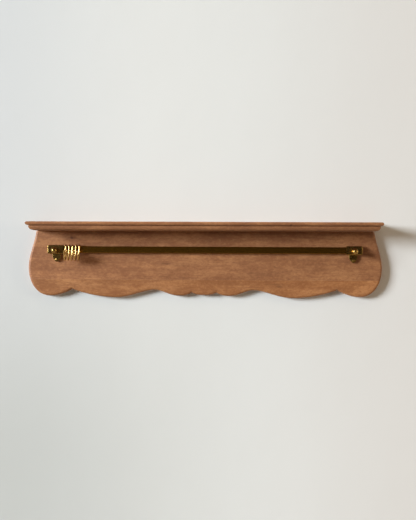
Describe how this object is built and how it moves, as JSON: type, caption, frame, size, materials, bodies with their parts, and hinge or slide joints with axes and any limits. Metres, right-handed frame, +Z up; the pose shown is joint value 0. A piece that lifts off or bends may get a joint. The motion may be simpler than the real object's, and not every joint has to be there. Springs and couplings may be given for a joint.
{
  "type": "wall shelf with hook rail",
  "caption": "Wooden wall shelf with a moulded edge on a scalloped backboard, carrying a flat brass rail on end brackets with sliding S-hooks.",
  "frame": {"origin": "on the back face of the backboard, midway along it, level with the two hanging screws", "axes": "+X to the right along the shelf, +Z up, and the wall behind, so the front faces -Y"},
  "size_m": [0.93, 0.102, 0.1968],
  "materials": {
    "mango_wood": "oiled, satin, warm mid-brown",
    "mango_wood_pale": "oiled, satin, a little lighter",
    "beech": "plain, unfinished",
    "rail_brass": "dark aged brass, smooth",
    "aged_brass": "dark aged brass, lightly worn at the edges",
    "hook_brass": "aged brass, rubbed bright",
    "zinc_steel": "zinc plated, dull"
  },
  "bodies": {
    "shelf": {"shelf_board": "mango_wood", "backboard_upper_plank": "mango_wood", "backboard_lower_plank": "mango_wood_pale", "shelf_dowel_1": "beech", "shelf_dowel_2": "beech", "shelf_dowel_3": "beech", "shelf_dowel_4": "beech", "rail_bar": "rail_brass", "left_bracket_base": "aged_brass", "left_rail_cap": "aged_brass", "left_tab_screw": "aged_brass", "left_hidden_screw": "aged_brass", "left_keyhole_plate": "zinc_steel", "left_keyhole_screw_1": "zinc_steel", "left_keyhole_screw_2": "zinc_steel", "right_bracket_base": "aged_brass", "right_rail_cap": "aged_brass", "right_tab_screw": "aged_brass", "right_hidden_screw": "aged_brass", "right_keyhole_plate": "zinc_steel", "right_keyhole_screw_1": "zinc_steel", "right_keyhole_screw_2": "zinc_steel"},
    "left_ball_screw": {"left_ball_screw": "aged_brass"},
    "right_ball_screw": {"right_ball_screw": "aged_brass"},
    "s_hook_1": {"s_hook_1": "hook_brass"},
    "s_hook_2": {"s_hook_2": "hook_brass"},
    "s_hook_3": {"s_hook_3": "hook_brass"},
    "s_hook_4": {"s_hook_4": "hook_brass"},
    "s_hook_5": {"s_hook_5": "hook_brass"}
  },
  "joints": [
    {"name": "s_hook_1_slide", "type": "slide", "parent": "shelf", "child": "s_hook_1", "axis": [1, 0, 0], "range_m": [-0.004, 0.138]},
    {"name": "s_hook_2_slide", "type": "slide", "parent": "s_hook_1", "child": "s_hook_2", "axis": [1, 0, 0], "range_m": [-0.004, 0.138]},
    {"name": "s_hook_3_slide", "type": "slide", "parent": "s_hook_2", "child": "s_hook_3", "axis": [1, 0, 0], "range_m": [-0.004, 0.138]},
    {"name": "s_hook_4_slide", "type": "slide", "parent": "s_hook_3", "child": "s_hook_4", "axis": [1, 0, 0], "range_m": [-0.004, 0.138]},
    {"name": "s_hook_5_slide", "type": "slide", "parent": "s_hook_4", "child": "s_hook_5", "axis": [1, 0, 0], "range_m": [-0.004, 0.138]},
    {"name": "left_ball_screw_turn", "type": "hinge", "parent": "shelf", "child": "left_ball_screw", "pos_m": [-0.3912, -0.0475, -0.0126], "axis": [0, -1, 0], "range_deg": [0, 720]},
    {"name": "right_ball_screw_turn", "type": "hinge", "parent": "shelf", "child": "right_ball_screw", "pos_m": [0.3912, -0.0475, -0.0126], "axis": [0, -1, 0], "range_deg": [0, 720]}
  ]
}
